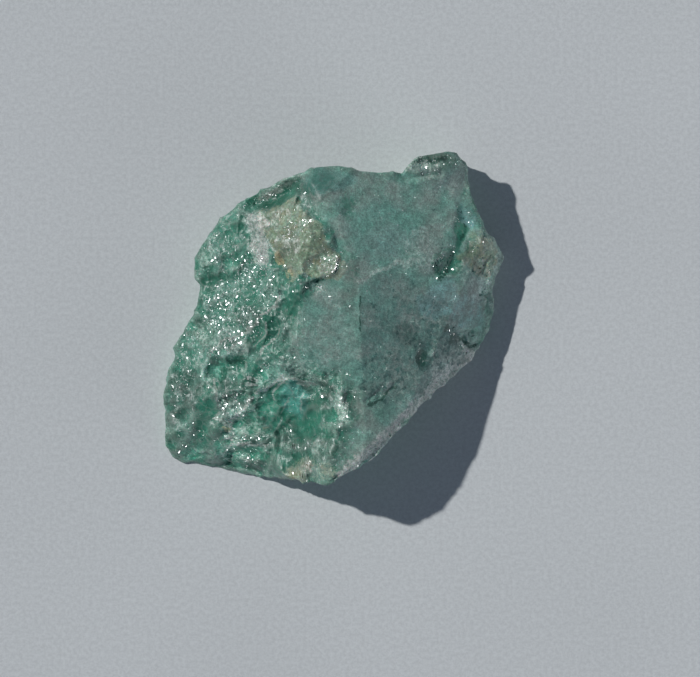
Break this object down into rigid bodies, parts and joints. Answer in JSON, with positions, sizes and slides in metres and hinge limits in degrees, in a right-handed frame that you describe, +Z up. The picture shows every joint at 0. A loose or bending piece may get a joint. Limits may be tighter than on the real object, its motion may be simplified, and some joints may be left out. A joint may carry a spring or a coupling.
{
  "type": "aquamarine crystal",
  "caption": "Rough lump of cloudy sea-green aquamarine: smooth growth faces on one side, sparkling hackly fracture on the other, flat underneath.",
  "frame": {"origin": "middle of the lump's bounding box, on the plane of its flat underside", "axes": "+Z up out of the flat underside; +Y towards the knobbed end; +X towards the smooth growth faces"},
  "size_m": [0.061, 0.0588, 0.0225],
  "materials": {
    "aquamarine": "broken crystal, vitreous where fractured and frosted on its growth faces"
  },
  "bodies": {
    "root": {"crystal": "aquamarine"}
  },
  "joints": []
}
